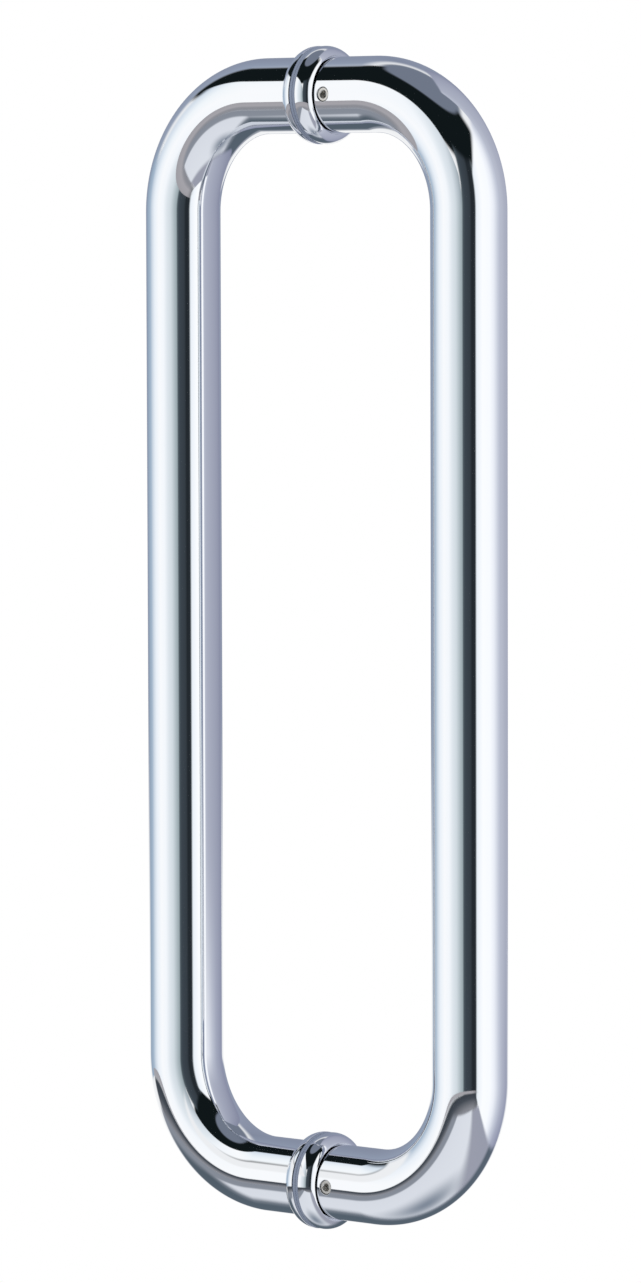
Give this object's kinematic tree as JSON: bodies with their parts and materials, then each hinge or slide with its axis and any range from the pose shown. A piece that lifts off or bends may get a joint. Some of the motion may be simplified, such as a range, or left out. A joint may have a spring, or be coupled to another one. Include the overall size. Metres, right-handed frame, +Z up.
{
  "type": "door pull handle",
  "caption": "Back-to-back pair of D-shaped pull handles in mirror-finish round tube, with dished collars and recessed set screws, closed up on their own studs.",
  "frame": {"origin": "midway between the two fixings, in the middle plane of the door", "axes": "+X through the door from the outside handle to the inside handle, +Z up along the grips, -Y towards the side that the set screws face"},
  "size_m": [0.1878, 0.041, 0.498],
  "materials": {
    "polished_tube": "mirror polished",
    "polished_collar": "mirror polished",
    "turned_steel": "turned",
    "set_screw": "plain",
    "gasket": "soft moulded",
    "sleeve": "moulded"
  },
  "bodies": {
    "root": {"outside_handle_tube": "polished_tube", "inside_handle_tube": "polished_tube", "outside_top_plug": "turned_steel", "outside_bottom_plug": "turned_steel", "inside_top_plug": "turned_steel", "inside_bottom_plug": "turned_steel", "outside_top_collar": "polished_collar", "outside_bottom_collar": "polished_collar", "inside_top_collar": "polished_collar", "inside_bottom_collar": "polished_collar", "outside_top_gasket": "gasket", "outside_bottom_gasket": "gasket", "inside_top_gasket": "gasket", "inside_bottom_gasket": "gasket", "top_stud": "turned_steel", "bottom_stud": "turned_steel", "top_sleeve": "sleeve", "bottom_sleeve": "sleeve", "top_set_screw": "set_screw", "bottom_set_screw": "set_screw"}
  },
  "joints": []
}
